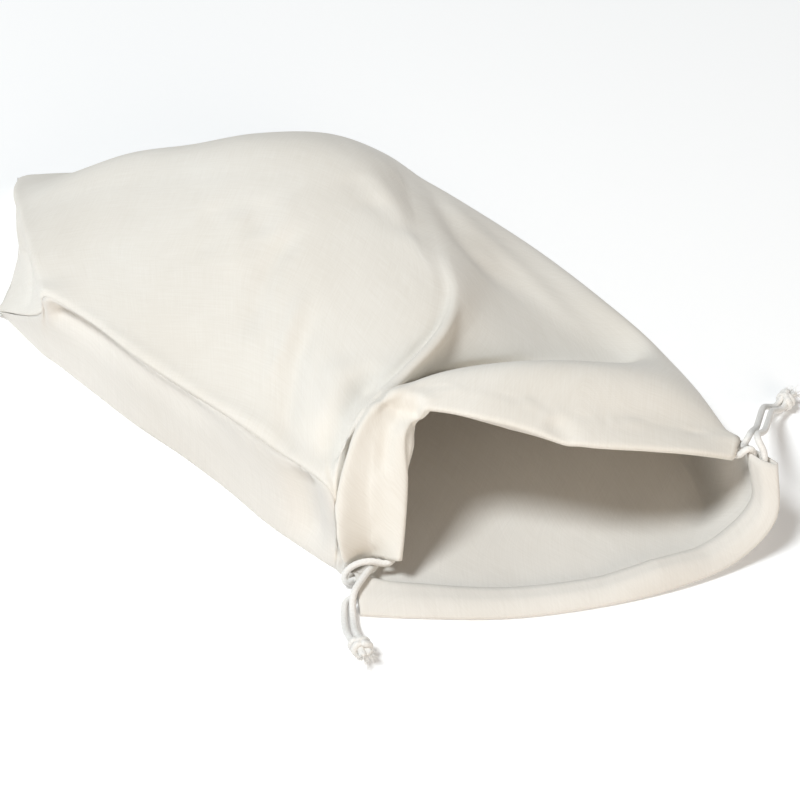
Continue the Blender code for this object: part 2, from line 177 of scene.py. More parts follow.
# The studio, in metres: camera, half the side of the plain floor, and lights by place, size,
# watts and colour, all turned to the origin.
LENS, SENSOR = 85.0, 36.0
CAMERA_TARGET = (0.0413, -0.0959, 0.0)
CAMERA_AZIMUTH, CAMERA_ELEVATION = -50.0, 38.0
CAMERA_DISTANCE = 1.2
FLOOR_HALF = 12.0
LIGHTS = (("key", (-3.1, 1.3, 6.1), 2.2, 392.0, (0.925, 0.97, 1.0)),
          ("fill", (-0.9, -1.9, 0.7), 1.0, 14.0, (1.0, 0.86, 0.72)))

# ---------------------------------------------------------------------------
# Front panel. Every row is one fold line or section across the bag, from the near seam to the
# far seam, and every column follows one line along the bag:
#   near seam, near top 1, near top 2, top 1, top 2, top 3, crown, far shoulder, far flank,
#   far seam
# ---------------------------------------------------------------------------
BOTTOM_SEAM = ((-64, 171, 4), (-44, 181, 4), (-25, 197, 5), (-4, 214, 7), (3, 224, 9),
               (11, 234, 11), (21, 245, 12), (32, 257, 12), (43, 272, 10), (56, 286, 8))
END_FACE = ((-77, 103, 42), (-66, 122, 42), (-56, 140, 42), (-43, 159, 42), (-28, 180, 40),
            (-13, 200, 36), (5, 223, 31), (21, 244, 25), (37, 264, 18), (57, 283, 10))
END_EDGE = ((-76, 101, 54), (-72, 104, 56), (-64, 116, 55), (-51, 136, 57), (-34, 162, 56),
            (-18, 185, 52), (-3, 208, 46), (16, 234, 36), (35, 258, 24), (60, 278, 12))

# The filled body, one row for each section: the near seam's point, the far shoulder's point, the
# height of the crown and the far seam's point.
BODY = (
    # near seam         far shoulder      crown  far seam
    ((-75, 63, 53), (81, 187, 51), 74, (100, 190, 30)),
    ((-82, 15, 53), (106, 138, 67), 91.5, (121, 140, 40)),
    ((-86, -31, 53), (131, 100, 77.5), 105.5, (145, 100, 44)),
    ((-89, -73, 54), (156, 57, 82), 111, (166, 56, 45)),
    ((-93, -114, 54), (162, 14, 80.5), 108.5, (173, 8, 45)),
)
# Places across the top of a section, as fractions of the way from near seam to far shoulder, and
# the part of the crown's rise that the cloth has made by then.
TOP_PLACE = (0.081, 0.171, 0.31, 0.45, 0.61, 0.80)
TOP_RISE = (0.17, 0.37, 0.63, 0.84, 0.98, 1.00)

# The pleat that lies across the front near the mouth.
BODY_END = ((-98, -160, 54), (-83, -147, 61), (-61, -146, 76), (-26, -145, 84), (11, -139, 90),
            (44, -121, 95), (70, -90, 99.5), (157, -12, 80), (168, -20, 62), (171, -26, 45))
PLEAT_FOOT = ((-98, -164, 51), (-83, -151, 60), (-60, -151, 77), (-26, -150, 84), (12, -144, 89),
              (47, -126, 93), (73, -97, 97), (158, -19, 78), (169, -28, 60), (172, -34, 44))
PLEAT_CREST = ((-98, -166, 46), (-82, -155, 66), (-59, -157, 85), (-25, -156, 90),
               (14, -150, 92), (51, -131, 94), (77, -104, 95), (159, -28, 76), (170, -36, 59),
               (173, -42, 44))

# The slope that falls away behind the mouth, before the cloth climbs over the opening.
HOLLOW = (
    ((-97, -167, 36), (-84, -161, 54), (-62, -153, 70), (-27, -158, 82), (13, -154, 84),
     (55, -147, 80), (113, -118, 68), (164, -97, 59), (171, -103, 50), (171, -109, 42)),
    ((-98, -169, 26), (-86, -164, 42), (-67, -154, 60), (-36, -157, 78), (7, -157, 76),
     (60, -174, 66), (111, -176, 55), (148, -171, 54), (153, -177, 47), (153, -182, 40)),
    ((-99.5, -172, 15), (-88, -168, 26), (-72, -158, 56), (-37, -154, 76), (10, -156, 68),
     (61, -184, 58), (107, -218, 50), (130, -222, 53), (133, -230, 47), (131, -237, 41)),
)
# The roof over the mouth: its crest, the hem's stitch line and the mouth's edge.
ROOF_CREST = ((-103, -177, 6), (-102.5, -171, 32.5), (-89, -164, 61), (-61, -162, 88),
              (-22, -173, 93), (12, -198, 94), (48, -232, 88), (78, -264, 74), (90, -288, 59),
              (92, -302, 50))
FRONT_STITCH = ((-87, -182, 6), (-86, -181, 28), (-78, -174, 58), (-58, -166, 86),
                (-30, -178, 94), (-7, -209, 92), (16, -246, 82), (47, -273, 71), (69, -294, 61),
                (89, -311, 52))
FRONT_EDGE = ((-88, -202, 16), (-79, -198, 31), (-68, -191, 57), (-58, -182, 80),
              (-46, -182, 89), (-22, -221, 87), (0, -257, 77), (32, -286, 68), (56, -305, 60),
              (75, -317, 50))

# ---------------------------------------------------------------------------
# Back panel. Its rows follow the front panel's. Columns:
#   near seam, near flank, near foot, floor 1, floor 2, floor 3, far foot, far flank, far seam
# ---------------------------------------------------------------------------
# Feet of the panel on the table, one row for each of the front panel's rows from the end face
# to the roof's crest: near foot x, y, and far foot x, y.
FEET = (
    (-72, 113, 52, 270),
    (-73, 101, 56, 266),
    (-78, 63, 88, 190),
    (-84, 15, 109, 140),
    (-87, -31, 133, 100),
    (-92, -73, 153, 56),
    (-99, -114, 162, 8),
    (-102, -160, 161, -26),
    (-102, -164, 162, -34),
    (-102, -168, 163, -42),
    (-102, -170, 161, -109),
    (-103, -172, 142, -184),
    (-103, -175, 120, -242),
    (-105, -179, 82, -296),
)
# Places of the floor's columns between the two feet.
FLOOR_PLACE = (0.25, 0.5, 0.75)
# Places of the columns along the bottom seam, from the near corner to the far corner.
BOTTOM_PLACE = (0.0, 0.012, 0.03, 0.27, 0.5, 0.73, 0.97, 0.988, 1.0)
# How far the far flank swells out at its middle.
FLANK_SWELL = 3.0
BACK_STITCH = ((-101, -180, 0), (-96, -196, 0), (-87, -211, 0), (-55, -254, 0), (-16, -287, 0),
               (21, -310, 1.5), (53, -324, 6), (80, -330, 23), (89, -318, 49))
BACK_EDGE = ((-121, -203, 0), (-115, -212, 0), (-104, -227, 0), (-70, -268, 0), (-28, -303, 0),
             (12, -328, 1.5), (46, -343, 6), (73, -349, 23), (86, -338, 49))

# The channel's cross-section: fraction of the hem from stitch line to edge, and the distance
# between its two layers there.
CHANNEL = ((0.0, STITCH_SPACE), (0.05, 3.0), (0.14, 5.2), (0.3, CORD_SPACE), (0.7, CORD_SPACE),
           (0.86, 5.8), (0.95, 4.2), (1.0, 3.2))
# Rows across the hem at such fractions: outer layer, rounded edge with its distance inward, and
# inner layer.
OUTER_AT = (0.04, 0.1, 0.2, 0.3, 0.4, 0.5, 0.6, 0.7, 0.8, 0.9, 1.0)
NOSE = ((1.045, 0.7), (1.06, 1.6), (1.045, 2.5))
INNER_AT = (1.0, 0.95, 0.9, 0.8, 0.7, 0.6, 0.5, 0.4, 0.3, 0.2, 0.14, 0.09, 0.05, 0.02)

# The cords cross once in each channel. Place of the crossing as a fraction of the panel's
# columns, then distance from it along the hem, the part of the way that the cords have changed
# sides by then, and the part of the rise that lifts one over the other.
FRONT_CROSSING = 0.54
BACK_CROSSING = 0.64
CROSSING = ((-30.0, 0.0, 0.0), (-15.0, 0.15, 0.6), (0.0, 0.5, 1.0), (15.0, 0.85, 0.6),
            (30.0, 1.0, 0.0))
CROSSING_RISE = CORD + 2.0 * GAP

# ---------------------------------------------------------------------------
# Free parts of the cords. A strand runs from the channel's end to its knot, a bridge from the
# front channel's end to the back channel's end.
# ---------------------------------------------------------------------------
LEFT_KNOT = (-142, -218, 247)      # x and y of the knot's face, and its heading in degrees
LEFT_FRONT_STRAND = ((-85, -188, 5.8), (-88, -187, 5.3), (-92, -188.3, 5.9), (-95, -189.4, 7.6),
                     (-98, -190.6, 10), (-101.5, -191.8, 11.4), (-105, -192.8, 11.7),
                     (-110, -194.2, 11.8), (-115.5, -195.5, 11.7), (-119, -196.6, 10.2),
                     (-121.4, -198, 7.2), (-123.8, -200, 4.2), (-127.5, -203.8, 2.7),
                     (-132, -208.6, 3.2))
LEFT_BACK_STRAND = ((-117.5, -193, 3.6), (-120.5, -192, 3), (-125, -195, 2.6), (-131, -200, 2.6),
                    (-137, -206.5, 3))
LEFT_BRIDGE = ((-85.5, -196.2, 10.2), (-88, -194.8, 9.7), (-91, -191.8, 10.6), (-94, -189, 12.8),
               (-98, -185.6, 12.8), (-103.5, -181.8, 11), (-107.3, -180.5, 8.6),
               (-110.2, -181.5, 5.6), (-110.9, -183.9, 4.4))

RIGHT_KNOT = (184, -288, 4)
RIGHT_FRONT_STRAND = ((85.2, -313.4, 48.1), (86.4, -315.3, 49.3), (87.3, -316.3, 52.9),
                      (91, -316, 55), (98, -313.6, 52), (112, -309, 43.6), (128, -302, 34.6),
                      (144, -294.8, 26.4), (159, -288.2, 19), (169, -284.6, 13),
                      (175, -284.4, 9.2))
RIGHT_BACK_STRAND = ((84.8, -329.4, 55), (84.2, -326.8, 58.6), (86, -323.8, 60.2),
                     (91.5, -321, 58.4), (100, -318.4, 52.4), (113, -314.2, 43.8),
                     (129, -307.4, 34.8), (145, -300.4, 26.4), (160, -293.8, 18.8),
                     (170, -290.8, 12.6), (176.5, -290.4, 8.6))
RIGHT_BRIDGE = ((79.2, -315.4, 46.9), (79.1, -317.6, 47.8), (78.8, -319.2, 51.3),
                (80, -320.9, 54.6), (82.6, -322.4, 54.8))

# Creases of the cloth: how far each stands out (a trough is negative), its half width, whether its
# middle is sharp, points along it, and where given the parts over which its two ends fade.
FRONT_CREASES = (
    # The closed end's edge, and the fold in its face.
    (2.0, 4.0, True, ((40, 262, 20), (16, 234, 36), (-3, 208, 46), (-18, 185, 52), (-34, 162, 56),
                      (-51, 136, 57), (-64, 116, 56), (-72, 104, 56), (-80, 92, 54))),
    (-2.5, 4.5, False, ((20, 236, 28), (2, 216, 37), (-15, 193, 43), (-31, 171, 47),
                        (-47, 148, 49), (-60, 128, 49), (-72, 110, 48), (-80, 98, 46))),
    (-4.5, 7.0, True, ((-25, 185, 33), (-42, 160, 41), (-55, 142, 42), (-61, 136, 36),
                       (-67, 128, 30), (-70, 122, 24))),
    # The raised band along the near seam.
    (1.3, 4.5, False, ((-72, 98, 57), (-71, 72, 55), (-76, 31, 55), (-79, -6, 56), (-84, -47, 55),
                       (-85, -89, 57), (-87, -129, 59), (-90, -159, 57))),
    # Wrinkles over the filled body.
    (1.6, 5.0, False, ((-1, -57, 94), (-6, -60, 92), (-18, -65, 88), (-37, -73, 80),
                       (-57, -81, 71), (-69, -87, 65))),
    (-3.0, 7.0, False, ((-5, -70, 92), (-14, -74, 89), (-24, -79, 85), (-45, -89, 76),
                        (-65, -102, 67), (-79, -113, 61), (-85, -128, 60), (-86, -150, 60))),
    (-2.4, 8.0, False, ((36, -16, 106), (29, -20, 104), (20, -24, 101), (-1, -28, 94),
                        (-20, -37, 86), (-36, -46, 80), (-49, -55, 75))),
    (-0.9, 8.0, False, ((42, 14, 108), (34, 11, 106), (24, 3, 103), (10, -6, 99))),
    (-0.9, 8.0, False, ((26, 45, 101), (19, 41, 99), (9, 33, 96), (-4, 20, 91), (-14, 12, 87))),
    (0.8, 7.0, False, ((54, 5, 109), (47, -1, 108), (39, -6, 107), (20, -16, 102), (10, -20, 98))),
    (1.2, 8.0, False, ((28, 26, 104), (21, 20, 101), (5, 5, 97), (-7, -5, 92), (-20, -14, 87))),
    (-1.4, 10.0, False, ((92, -10, 112), (88, -20, 111), (83, -30, 110), (77, -43, 108),
                         (72, -52, 105))),
    (0.8, 8.0, False, ((104, -15, 110), (98, -28, 109), (93, -42, 108), (90, -54, 105))),
    (-1.6, 10.0, False, ((84, -36, 110), (80, -48, 108), (76, -61, 106), (75, -74, 103),
                         (70, -86, 100))),
    (1.4, 10.0, False, ((-28, -110, 86), (-39, -117, 81), (-52, -124, 76), (-66, -132, 68),
                        (-76, -138, 63))),
    # The dip beside the pleat, the pleat's rolled edge and the step at its foot.
    (-8.0, 8.5, False, ((-22, -134, 86), (-38, -137, 82), (-46, -138, 76), (-56, -140, 72),
                        (-67, -143, 66), (-80, -148, 62), (-90, -154, 56))),
    (-2.4, 3.2, False, ((42, -133, 94), (20, -142, 91), (0, -145, 88), (-19, -147, 86),
                        (-39, -147, 82), (-56, -148, 79), (-68, -149, 73), (-79, -153, 68),
                        (-88, -156, 60))),
    (2.8, 4.2, False, ((50, -130, 95), (45, -137, 94), (25, -147, 93), (3, -153, 92),
                       (-19, -156, 91), (-40, -158, 88), (-57, -157, 84), (-69, -157, 76),
                       (-78, -157, 67))),
    # The crown's edge, where the far side begins to fall away, and a valley beside it.
    (0.4, 7.0, False, ((133, 46, 100), (131, 27, 102), (125, 2, 104), (126, -16, 99),
                       (120, -38, 93), (106, -62, 93), (88, -88, 96))),
    (-3.0, 10.0, False, ((158, -2, 80), (146, -36, 82), (131, -56, 84), (115, -80, 85),
                         (107, -99, 82), (107, -122, 69), (101, -151, 63))),
    (1.6, 9.0, False, ((152, -14, 82), (147, -33, 81), (137, -75, 76), (132, -120, 63),
                       (119, -161, 57), (108, -200, 51))),
    # The roof's near crest, and the fold under it where the opening turns down.
    (1.2, 3.5, False, ((-88, -165, 63), (-81, -163, 72), (-62, -157, 82), (-57, -164, 90),
                       (-39, -169, 93), (-23, -174, 94), (-2, -183, 93))),
    (-7.0, 3.4, True, ((-58, -160, 90), (-55, -163, 89), (-52, -167, 87), (-50, -170, 87),
                       (-48, -174, 87), (-46, -180, 88), (-44, -187, 88))),
    (-4.0, 6.0, False, ((-58, -168, 85), (-55, -172, 85), (-53, -176, 85), (-50, -181, 85),
                        (-47, -187, 86))),
    (-3.4, 4.5, False, ((-54, -166, 88), (-58, -171, 83), (-62, -173, 78), (-66, -175, 71),
                        (-70, -177, 65), (-74, -181, 55))),
    (2.4, 5.0, False, ((-54, -158, 92), (-46, -168, 92), (-42, -177, 92), (-36, -190, 91))),
    # A dent in the roof's edge.
    (-2.5, 7.0, False, ((2, -238, 85), (-2, -250, 82), (-3, -262, 79))),
)
BACK_CREASES = (
    # The tuck under the near seam at the closed end, and the soft trough that runs on from it.
    (-9.0, 6.5, False, ((-76, 101, 45), (-76, 92, 45), (-76, 82, 45), (-77, 68, 45), (-79, 47, 46),
                        (-82, 20, 47), (-85, -10, 48)), (0.08, 0.75)),
    (-5.5, 9.0, False, ((-76, 96, 42), (-76, 79, 42), (-79, 49, 42), (-83, 22, 43), (-85, -3, 43),
                        (-89, -49, 44), (-91, -90, 45))),
    # The near flank draws in before the mouth.
    (-9.0, 13.0, False, ((-94, -136, 60), (-96, -139, 44), (-98, -142, 31), (-102, -147, 17),
                         (-104, -150, 2))),
)


# ---------------------------------------------------------------------------
# Smooth lines and surfaces through the tables' points
# ---------------------------------------------------------------------------
def unit(vectors):
    """The same directions, each with length one."""
    return vectors / np.linalg.norm(vectors, axis=-1, keepdims=True)


def bell(distance, width):
    """1 in the middle, falling off softly at about a width from it."""
    return np.exp(-(distance / width) ** 2)


def eased(part):
    """A part from 0 to 1 with soft ends."""
    return part * part * (3.0 - 2.0 * part)


def arc(points):
    """Distance reached along a polyline, or along each of several."""
    steps = np.linalg.norm(np.diff(points, axis=0), axis=-1)
    return np.concatenate([np.zeros_like(steps[:1]), np.cumsum(steps, axis=0)])


def resample(points, places):
    """Points at the given fractions of a polyline's length."""
    points = np.asarray(points, float)
    reached = arc(points)
    wanted = np.asarray(places) * reached[-1]
    return np.stack([np.interp(wanted, reached, points[:, k]) for k in range(3)], axis=1)


def even(points, step):
    """The same line with points a fixed step apart."""
    count = max(2, round(arc(points)[-1] / step))
    return resample(points, np.linspace(0.0, 1.0, count + 1))


def smooth_line(points, steps):
    """Centripetal Catmull-Rom line through points, with steps[i] cells after point i."""
    points = np.asarray(points, float)
    ring = np.concatenate([[2.0 * points[0] - points[1]], points, [2.0 * points[-1] - points[-2]]])
    line = []
    for i, count in enumerate(steps):
        p0, p1, p2, p3 = ring[i:i + 4]
        t1 = math.sqrt(max(np.linalg.norm(p1 - p0), SHORTEST))
        t2 = t1 + math.sqrt(max(np.linalg.norm(p2 - p1), SHORTEST))
        t3 = t2 + math.sqrt(max(np.linalg.norm(p3 - p2), SHORTEST))
        for k in range(count):
            t = t1 + (t2 - t1) * k / count
            a1 = p0 + (p1 - p0) * (t / t1)
            a2 = p1 + (p2 - p1) * ((t - t1) / (t2 - t1))
            a3 = p2 + (p3 - p2) * ((t - t2) / (t3 - t2))
            b1 = a1 + (a2 - a1) * (t / t2)
            b2 = a2 + (a3 - a2) * ((t - t1) / (t3 - t1))
            line.append(b1 + (b2 - b1) * ((t - t1) / (t2 - t1)))
    line.append(points[-1])
    return np.array(line)


def softened(row, weight, reach):
    """A row of points drawn towards the mean of its neighbours by a weight for each."""
    window = np.hanning(2 * reach + 3)[1:-1]
    window /= window.sum()
    ends = np.pad(row, ((reach, reach), (0, 0)), mode="edge")
    mean = np.stack([np.convolve(ends[:, k], window, mode="valid") for k in range(3)], axis=1)
    return row + (mean - row) * weight[:, None]


def wander(places, spacing, seed):
    """A smooth random line through -1 to 1, one knot every spacing."""
    rng = np.random.default_rng(seed)
    knots = np.arange(places.min() - 2 * spacing, places.max() + 3 * spacing, spacing)
    values = rng.uniform(-1.0, 1.0, len(knots))
    place = (places - knots[0]) / spacing
    first = np.floor(place).astype(int)
    part = eased(place - first)
    return values[first] * (1.0 - part) + values[first + 1] * part


def cells(points, axis):
    """Number of cells in each interval of a table, from its mean length."""
    spans = np.linalg.norm(np.diff(points, axis=axis), axis=2).mean(axis=1 - axis)
    return [max(FEWEST_CELLS, round(span / CELL)) for span in spans]


def smooth_grid(rows):
    """Fine surface through a table of rows: smooth along the bag first, then across it."""
    row_steps = cells(rows, 0)
    column_steps = cells(rows, 1)
    along = np.stack([smooth_line(rows[:, j], row_steps) for j in range(rows.shape[1])], axis=1)
    return np.stack([smooth_line(row, column_steps) for row in along])


def normals(grid):
    """Unit normals of a grid, on the +Z side where the cloth lies flat."""
    normal = np.cross(np.gradient(grid, axis=0), np.gradient(grid, axis=1))
    return normal / np.maximum(np.linalg.norm(normal, axis=2, keepdims=True), TINY)


def nearest(points, others):
    """For each point, the index of the closest of the others and its distance."""
    index = np.empty(len(points), int)
    distance = np.empty(len(points))
    for start in range(0, len(points), BLOCK):
        block = slice(start, start + BLOCK)
        square = ((points[block, None, :] - others[None, :, :]) ** 2).sum(axis=2)
        index[block] = square.argmin(axis=1)
        distance[block] = np.sqrt(square.min(axis=1))
    return index, distance


# ---------------------------------------------------------------------------
# The panels' middle surfaces
# ---------------------------------------------------------------------------
def body_row(near_seam, shoulder, crown, far_seam):
    """One section of the filled body, from near seam to far seam."""
    near, far, seam = (np.array(point, float) for point in (near_seam, shoulder, far_seam))
    row = [near]
    for place, rise in zip(TOP_PLACE, TOP_RISE):
        point = near + (far - near) * place
        point[2] = near[2] + (crown - near[2]) * rise
        row.append(point)
    flank = (1.0 - FRONT_FLANK) * far + FRONT_FLANK * seam
    flank[0] += FLANK_SWELL
    return row + [far, flank, seam]


def front_rows():
    """The front panel's table of rows, from the closed end to the mouth's edge."""
    rows = [BOTTOM_SEAM, END_FACE, END_EDGE, *(body_row(*section) for section in BODY),
            BODY_END, PLEAT_FOOT, PLEAT_CREST, *HOLLOW, ROOF_CREST, FRONT_STITCH, FRONT_EDGE]
    return np.array([np.array(row, float) for row in rows])


def back_rows():
    """The back panel's table of rows, along the front panel's seams."""
    front = front_rows()
    rows = [resample(front[0], BOTTOM_PLACE)]
    for feet, edge in zip(FEET, front[1:-2]):
        near_seam = edge[0]
        far_seam = edge[-1]
        near_foot = np.array([feet[0], feet[1], FLOOR])
        far_foot = np.array([feet[2], feet[3], FLOOR])
        near_flank = 0.5 * (near_seam + near_foot)
        far_flank = (1.0 - BACK_FLANK) * far_foot + BACK_FLANK * far_seam
        far_flank[0] += FLANK_SWELL
        floor = [near_foot + (far_foot - near_foot) * place for place in FLOOR_PLACE]
        rows.append([near_seam, near_flank, near_foot, *floor, far_foot, far_flank, far_seam])
    rows += [np.array(table) + (0.0, 0.0, FLOOR) for table in (BACK_STITCH, BACK_EDGE)]
    return np.array([np.array(row, float) for row in rows])


def panel_grid(rows, lift):
    """A panel's middle surface; lift keeps the two panels apart at the closed end's seam."""
    rows[0, :, 2] += lift
    return smooth_grid(rows)


# ---------------------------------------------------------------------------
# Seams and creases
# ---------------------------------------------------------------------------
def rim(grid):
    """Points of a panel's seam: near side from the mouth, closed end, far side to the mouth."""
    return np.concatenate([grid[:0:-1, 0], grid[0], grid[1:, -1]])


def rim_inward(grid):
    """For each point of the seam, the direction into the panel."""
    inner = np.concatenate([grid[:0:-1, SEAM_INNER], grid[SEAM_INNER], grid[1:, -1 - SEAM_INNER]])
    return unit(inner - rim(grid))


def seam_grooves(front, back):
    """Draws both panels in along their shared seam, in a rounded groove with light puckers."""
    front_normal = normals(front)
    back_normal = -normals(back)
    line = rim(front)
    mate = nearest(line, rim(back))[0]
    outward = unit(rim(front_normal) + rim(back_normal)[mate]
                   - rim_inward(front) - rim_inward(back)[mate])
    reached = arc(line)
    fade = np.clip(np.minimum(reached, reached[-1] - reached) / SEAM_END, 0.0, 1.0)
    depth = SEAM_DEPTH * (SEAM_END_PART + (1.0 - SEAM_END_PART) * fade)
    for grid, normal, seed in ((front, front_normal, FRONT_SEED), (back, back_normal, BACK_SEED)):
        flat = grid.reshape(-1, 3)
        index, distance = nearest(flat, line)
        groove = depth[index] * bell(distance, SEAM_WIDTH)
        pucker = wander(reached, PUCKER, seed)[index] * bell(distance - PUCKER_AT, PUCKER_WIDTH)
        moved = flat - outward[index] * groove[:, None]
        moved += normal.reshape(-1, 3) * (PUCKER_RISE * pucker)[:, None]
        grid[:] = moved.reshape(grid.shape)


def segment_distance(points, start, end):
    """Distance of points from a segment, and how far along it the closest place is."""
    line = end - start
    place = np.clip(((points - start) @ line) / max(line @ line, TINY), 0.0, 1.0)
    return np.linalg.norm(points - (start + place[:, None] * line), axis=1), place


def crease(grid, normal, rise, half_width, sharp, points, faded=CREASE_FADED):
    """Moves the cloth along its normals near a line. The seams stay where they are."""
    flat = grid.reshape(-1, 3)
    line = smooth_line(points, [CREASE_CELLS] * (len(points) - 1))
    reached = arc(line)
    best = np.full(len(flat), np.inf)
    along = np.zeros(len(flat))
    for i in range(len(line) - 1):
        distance, place = segment_distance(flat, line[i], line[i + 1])
        closer = distance < best
        best[closer] = distance[closer]
        along[closer] = reached[i] + place[closer] * (reached[i + 1] - reached[i])
    fade = np.minimum(along / faded[0], (reached[-1] - along) / faded[1]) / reached[-1]
    fade = np.clip(fade, 0.0, 1.0)
    for seam in (grid[:, 0], grid[:, -1], grid[0]):
        fade = fade * np.minimum(1.0, nearest(flat, seam[::2])[1] / SEAM_HOLD)
    fall = SHARP_FALL if sharp else SOFT_FALL
    height = rise * np.exp(-(best / half_width) ** fall) * eased(fade)
    grid[:] = (flat + normal.reshape(-1, 3) * height[:, None]).reshape(grid.shape)


# ---------------------------------------------------------------------------
# Hems with their cord channels
# ---------------------------------------------------------------------------
def hem_start(rows):
    """Index of the stitch line in the fine grid of a table of rows."""
    return sum(cells(rows, 0)[:-1])


def hem_normal(base, inward):
    """Unit normals of the hem, towards the inside of the bag."""
    across = np.gradient(base[0], axis=0) + np.gradient(base[-1], axis=0)
    return unit(np.cross(base[-1] - base[0], across) * inward)


def hem_place(base, at):
    """Points of the hem's middle surface at a fraction of its depth, or one fraction a column."""
    count = len(base) - 1
    at = np.broadcast_to(np.asarray(at, float), (base.shape[1],))
    first = np.clip(np.floor(at * count), 0, count - 1).astype(int)
    part = (at * count - first)[:, None]
    column = np.arange(base.shape[1])
    return base[first, column] * (1.0 - part) + base[first + 1, column] * part


def crossing(stitch, place):
    """For each column: how far the cords have changed sides, and how far one is lifted."""
    reached = arc(stitch)
    offset = reached - reached[round(place * (len(reached) - 1))]
    distance, change, lift = np.array(CROSSING).T
    return np.interp(offset, distance, change), np.interp(offset, distance, lift)


def channel_gap(at, lift):
    """Distance between the two layers of the channel at a fraction of the hem."""
    places, gaps = np.array(CHANNEL).T
    gap = np.interp(at, places, gaps)
    return gap + lift * CROSSING_RISE * np.minimum(gap / CORD_SPACE, 1.0)


def channel_line(base, inward, place, near_at, far_at, lifted):
    """A cord's line in the channel, from the near end to the far end."""
    change, lift = crossing(base[0], place)
    at = near_at + (far_at - near_at) * change
    height = 0.5 * CORD_SPACE + lifted * CROSSING_RISE * lift
    return hem_place(base, at) + hem_normal(base, inward) * height[:, None]


def hem_layers(body, base, inward, place, lips):
    """Rows of a panel with its cord channel: outer layer, rounded edge, inner layer.

    lips are the places where the inner layer stands out past the edge.
    """
    normal = hem_normal(base, inward)
    past = unit(base[-1] - base[0])
    lift = crossing(base[0], place)[1]
    reached = arc(base[0])
    gather = (SMALL_PUCKER * wander(reached, SMALL_SPACING, SMALL_SEED)
              + LARGE_PUCKER * wander(reached, LARGE_SPACING, LARGE_SEED))
    rows = list(body)
    for at in OUTER_AT:
        cords = bell(at - STITCH_SIDE, CORD_SWELL_WIDTH) + bell(at - EDGE_SIDE, CORD_SWELL_WIDTH)
        swell = CORD_SWELL * cords + gather * bell(at - GATHER_AT, GATHER_WIDTH)
        rows.append(hem_place(base, at) - normal * swell[:, None])
    rows += [hem_place(base, at) + normal * inset for at, inset in NOSE]
    columns = np.linspace(0.0, 1.0, len(reached))
    out, back, calm = np.zeros((3, len(reached)))
    for middle, half_width, stand, fall in lips:
        lip = bell(columns - middle, half_width)
        out += stand * lip
        back += fall * lip
        calm += LIP_CALM_ALONG * lip
    for at in INNER_AT:
        share = bell(at - LIP_AT, LIP_WIDTH)
        gap = channel_gap(at, lift) + share * back
        row = hem_place(base, at) + normal * gap[:, None] + past * (share * out)[:, None]
        calmed = min(LIP_CALM_ACROSS * share, 1.0) * np.minimum(calm, 1.0)
        rows.append(softened(row, calmed, LIP_REACH))
    return np.array(rows)


# ---------------------------------------------------------------------------
# Cord routes, cords and knots
# ---------------------------------------------------------------------------
def knot_frame(knot):
    """A knot's face centre, its heading along the axis and the direction across it."""
    x, y, degrees = knot
    angle = math.radians(degrees)
    face = np.array([x, y, KNOT_HEIGHT])
    heading = np.array([math.cos(angle), math.sin(angle), 0.0])
    across = np.array([-math.sin(angle), math.cos(angle), 0.0])
    return face, heading, across


def strand(points, knot, side):
    """A free strand from the channel's end to its last two points, straight into the knot."""
    face, heading, across = knot_frame(knot)
    end = face - heading * GAP + across * side * STRAND_HALF
    return np.array([*points, end - heading * STRAND_LEAD, end])


def cord_route(knot, front_strand, front_line, bridge, back_line, back_strand):
    """A cord's whole route: strand, front channel, bridge, back channel, strand."""
    points = np.concatenate([strand(front_strand, knot, 1.0)[::-1], front_line, np.array(bridge),
                             back_line, strand(back_strand, knot, -1.0)])
    steps = np.linalg.norm(np.diff(points, axis=0), axis=1)
    line = smooth_line(points, [max(1, round(step / CORD_STEP)) for step in steps])
    return even(line, ROUTE_STEP)


def frames(path):
    """Two side directions along a path, square to it and turned as little as possible."""
    tangent = unit(np.gradient(path, axis=0))
    side = unit(np.cross(tangent[0], START_SIDE))
    sides = [side]
    for t in tangent[1:]:
        side = unit(side - t * np.dot(side, t))
        sides.append(side)
    sides = np.array(sides)
    return sides, np.cross(tangent, sides)


def tube(path, radius, count):
    """Points and faces of a closed tube with a radius for each ring, or for each of its points."""
    sides, ups = frames(path)
    turn = (np.arange(count) * (TURN / count))[None, :, None]
    ring = np.cos(turn) * sides[:, None] + np.sin(turn) * ups[:, None]
    radius = np.broadcast_to(radius, ring.shape[:2])
    points = (path[:, None] + ring * radius[..., None]).reshape(-1, 3)
    i, j = np.meshgrid(np.arange(len(path) - 1), np.arange(count), indexing="ij")
    k = (j + 1) % count
    faces = np.stack([i * count + j, i * count + k, (i + 1) * count + k, (i + 1) * count + j], -1)
    faces = [tuple(face) for face in faces.reshape(-1, 4)]
    faces.append(tuple(range(count))[::-1])
    faces.append(tuple(range(len(points) - count, len(points))))
    return points, faces


def braid(path):
    """A round braided cord: strands each way round it stand out in turn."""
    turn = np.arange(BRAID_SIDES) * (TURN / BRAID_SIDES)
    twist = arc(path)[:, None] * (TURN / BRAID_PITCH)
    one_way = np.cos(BRAID_STRANDS * (turn - twist))
    other_way = np.cos(BRAID_STRANDS * (turn + twist))
    depth = BRAID_RELIEF * (1.0 - np.maximum(one_way, other_way))
    return tube(path, 0.5 * CORD - depth, BRAID_SIDES)


def joined(parts):
    """One list of points and faces from several."""
    points, faces, start = [], [], 0
    for part_points, part_faces in parts:
        points.append(part_points)
        faces += [tuple(v + start for v in face) for face in part_faces]
        start += len(part_points)
    return np.concatenate(points), faces


